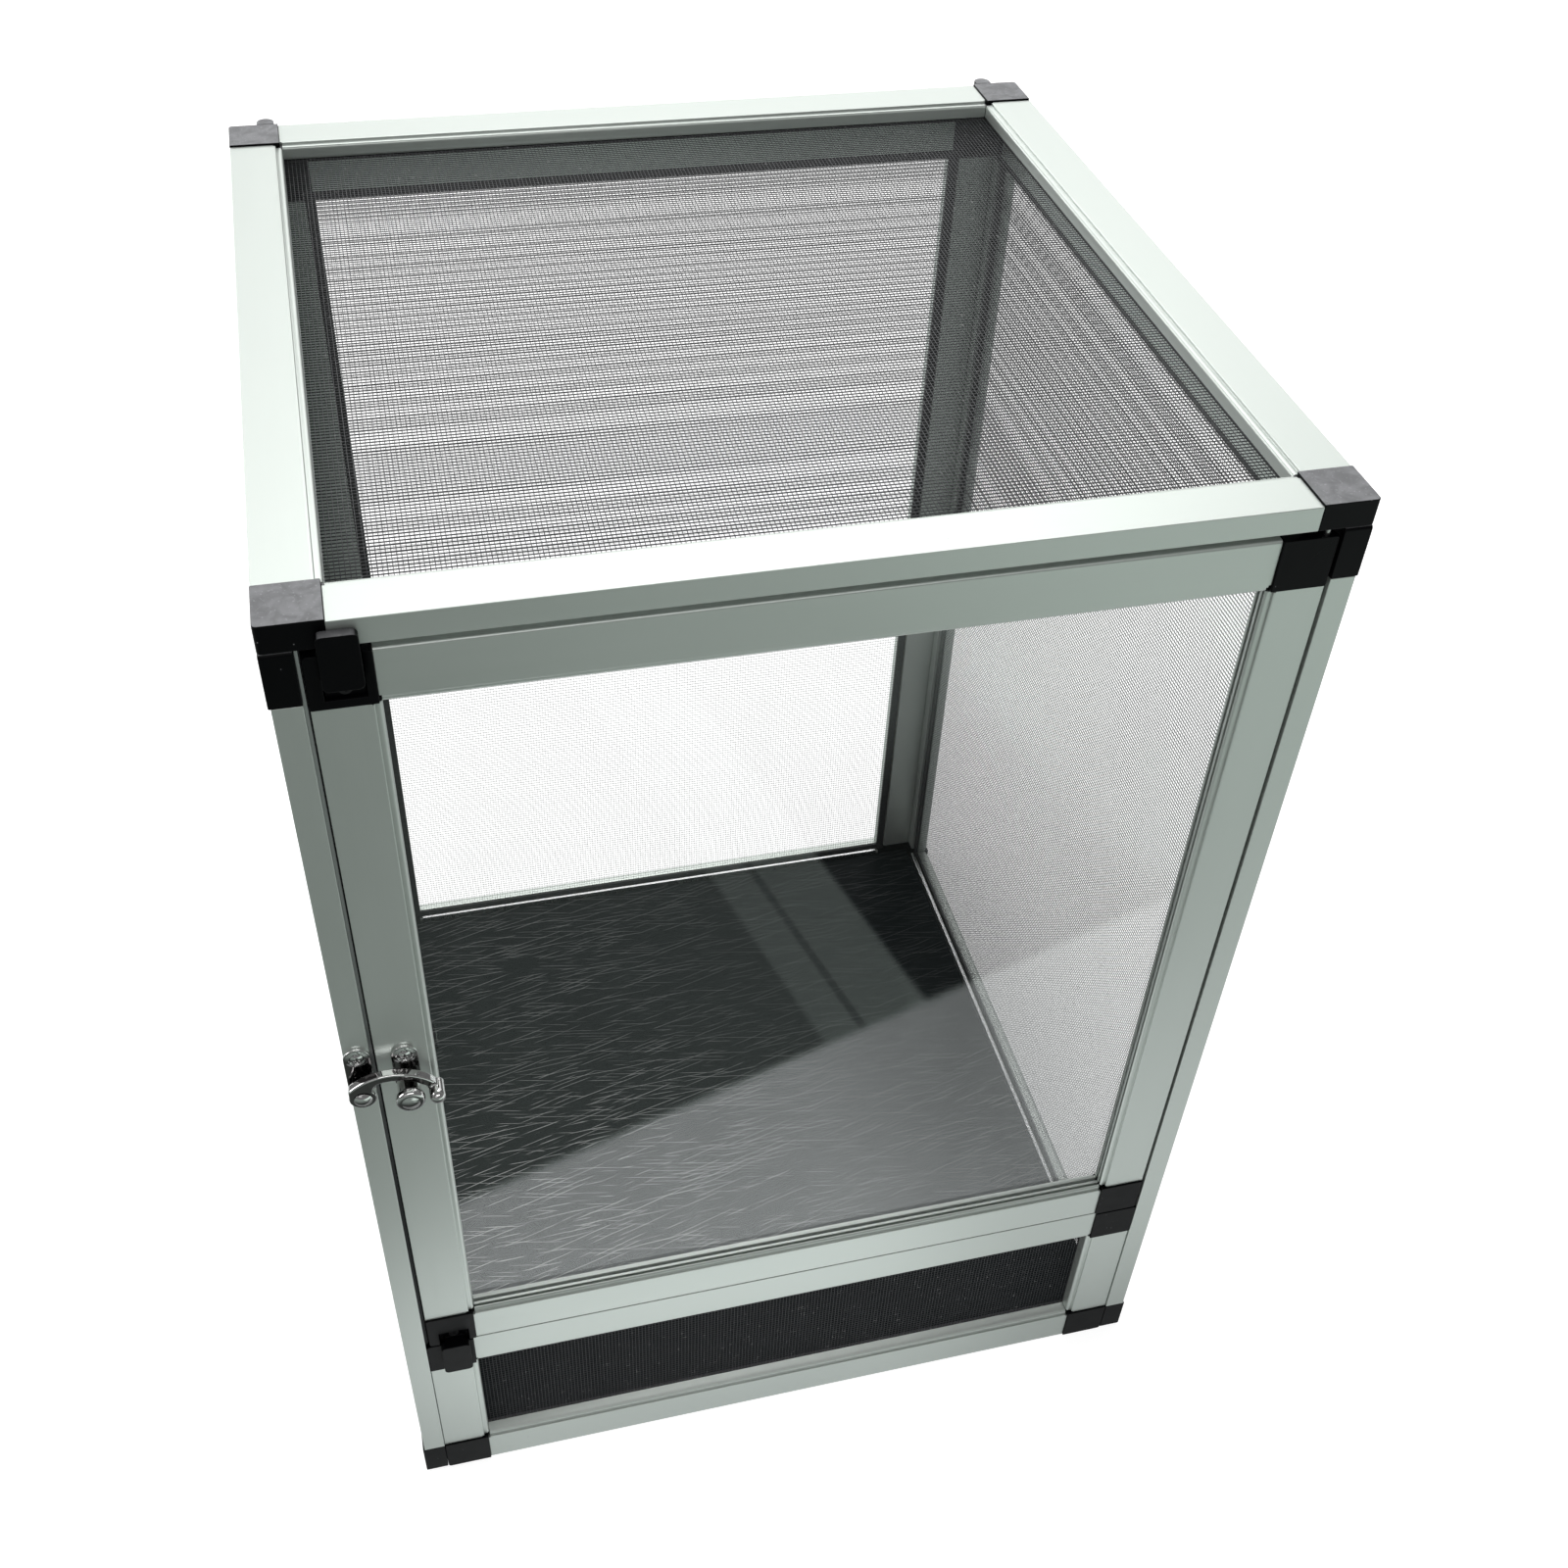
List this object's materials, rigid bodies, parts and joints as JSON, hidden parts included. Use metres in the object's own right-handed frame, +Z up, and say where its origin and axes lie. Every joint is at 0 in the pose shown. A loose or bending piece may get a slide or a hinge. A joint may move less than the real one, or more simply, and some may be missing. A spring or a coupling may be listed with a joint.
{
  "type": "reptile terrarium",
  "caption": "Upright mesh cage for reptiles: aluminium frames on plastic corners, a clear hinged front door with a hook latch, a mesh vent below it and a mesh top.",
  "frame": {"origin": "middle of the base, on the surface it stands on", "axes": "+X to the right, +Y to the back, +Z up, seen from the door's side"},
  "size_m": [0.35, 0.3684, 0.5],
  "materials": {
    "aluminium_bar": "satin anodised",
    "black_plastic": "satin black",
    "woven_mesh": "black coated fly mesh",
    "spline_cord": "black",
    "floor_board": "charcoal gloss",
    "clear_pane": "clear",
    "latch_chrome": "bright nickel",
    "steel_pin": "plain"
  },
  "bodies": {
    "enclosure": {"top_front_rail": "aluminium_bar", "top_rear_rail": "aluminium_bar", "top_left_rail": "aluminium_bar", "top_right_rail": "aluminium_bar", "top_corners": "black_plastic", "top_mesh": "woven_mesh", "top_spline": "spline_cord", "left_front_post": "aluminium_bar", "left_rear_post": "aluminium_bar", "left_upper_rail": "aluminium_bar", "left_lower_rail": "aluminium_bar", "left_corners": "black_plastic", "left_mesh": "woven_mesh", "left_spline": "spline_cord", "right_front_post": "aluminium_bar", "right_rear_post": "aluminium_bar", "right_upper_rail": "aluminium_bar", "right_lower_rail": "aluminium_bar", "right_corners": "black_plastic", "right_mesh": "woven_mesh", "right_spline": "spline_cord", "back_left_stile": "aluminium_bar", "back_right_stile": "aluminium_bar", "back_upper_rail": "aluminium_bar", "back_lower_rail": "aluminium_bar", "back_corners": "black_plastic", "back_mesh": "woven_mesh", "back_spline": "spline_cord", "vent_left_stile": "aluminium_bar", "vent_right_stile": "aluminium_bar", "vent_upper_rail": "aluminium_bar", "vent_lower_rail": "aluminium_bar", "vent_corners": "black_plastic", "vent_mesh": "woven_mesh", "vent_spline": "spline_cord", "floor_board": "floor_board", "floor_ledges": "aluminium_bar", "panel_pegs": "black_plastic", "rear_lugs": "black_plastic", "door_stop_strip": "aluminium_bar", "hinge_pins": "steel_pin", "post_plate": "latch_chrome", "post_screw": "latch_chrome", "hook_pivot": "latch_chrome"},
    "door": {"door_left_stile": "aluminium_bar", "door_right_stile": "aluminium_bar", "door_upper_rail": "aluminium_bar", "door_lower_rail": "aluminium_bar", "door_corners": "black_plastic", "door_pane": "clear_pane", "keeper_plate": "latch_chrome", "keeper_screw": "latch_chrome", "keeper_stud": "latch_chrome", "upper_stop_clip": "black_plastic", "lower_stop_clip": "black_plastic", "clip_screws": "latch_chrome"},
    "hook_arm": {"latch_hook": "latch_chrome"}
  },
  "joints": [
    {"name": "door_hinge", "type": "hinge", "parent": "enclosure", "child": "door", "pos_m": [0.16, -0.1725, 0.3], "axis": [0, 0, 1], "range_deg": [0, 110]},
    {"name": "hook_pivot", "type": "hinge", "parent": "enclosure", "child": "hook_arm", "pos_m": [-0.1697, -0.18, 0.2925], "axis": [0, -1, 0], "range_deg": [0, 100]}
  ]
}
